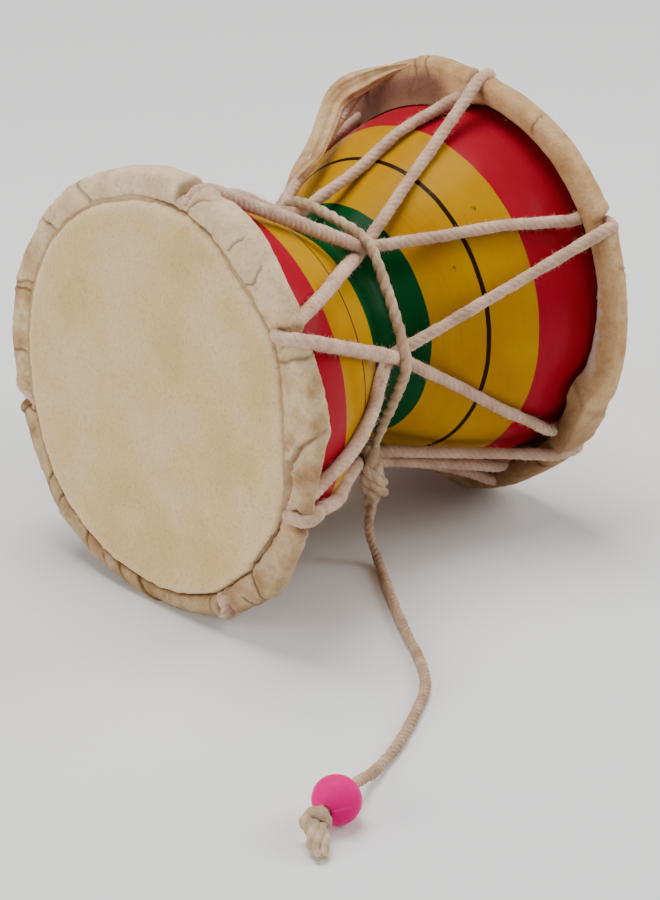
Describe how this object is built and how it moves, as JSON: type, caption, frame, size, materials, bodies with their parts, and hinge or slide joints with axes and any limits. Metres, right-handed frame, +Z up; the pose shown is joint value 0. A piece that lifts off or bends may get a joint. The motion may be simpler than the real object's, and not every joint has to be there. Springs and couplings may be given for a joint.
{
  "type": "damaru drum",
  "caption": "Hourglass two-headed hand drum lying on its side, with rope-laced skin heads, painted wooden shell and a bead striker on a cord.",
  "frame": {"origin": "on the ground, under the middle of the laced drum as it lies on its side", "axes": "+X along the drum's axis towards the far head, +Z up, -Y towards the side on which the striker lies"},
  "size_m": [0.1958, 0.1978, 0.1298],
  "materials": {
    "painted_wood": "glossy lacquer paint in red, yellow and green bands on turned wood",
    "raw_hide": "matt untanned hide, cream with brown stains",
    "cotton_rope": "twisted cotton rope, off-white, fuzzy",
    "cotton_cord": "twisted cotton cord, beige",
    "pink_plastic": "moulded bead, gloss"
  },
  "bodies": {
    "root": {"wooden_shell": "painted_wood", "near_head": "raw_hide", "far_head": "raw_hide", "lacing_rope": "cotton_rope", "waist_cord": "cotton_cord", "striker_cord": "cotton_cord", "striker_bead": "pink_plastic", "striker_end_knot": "cotton_cord"}
  },
  "joints": []
}
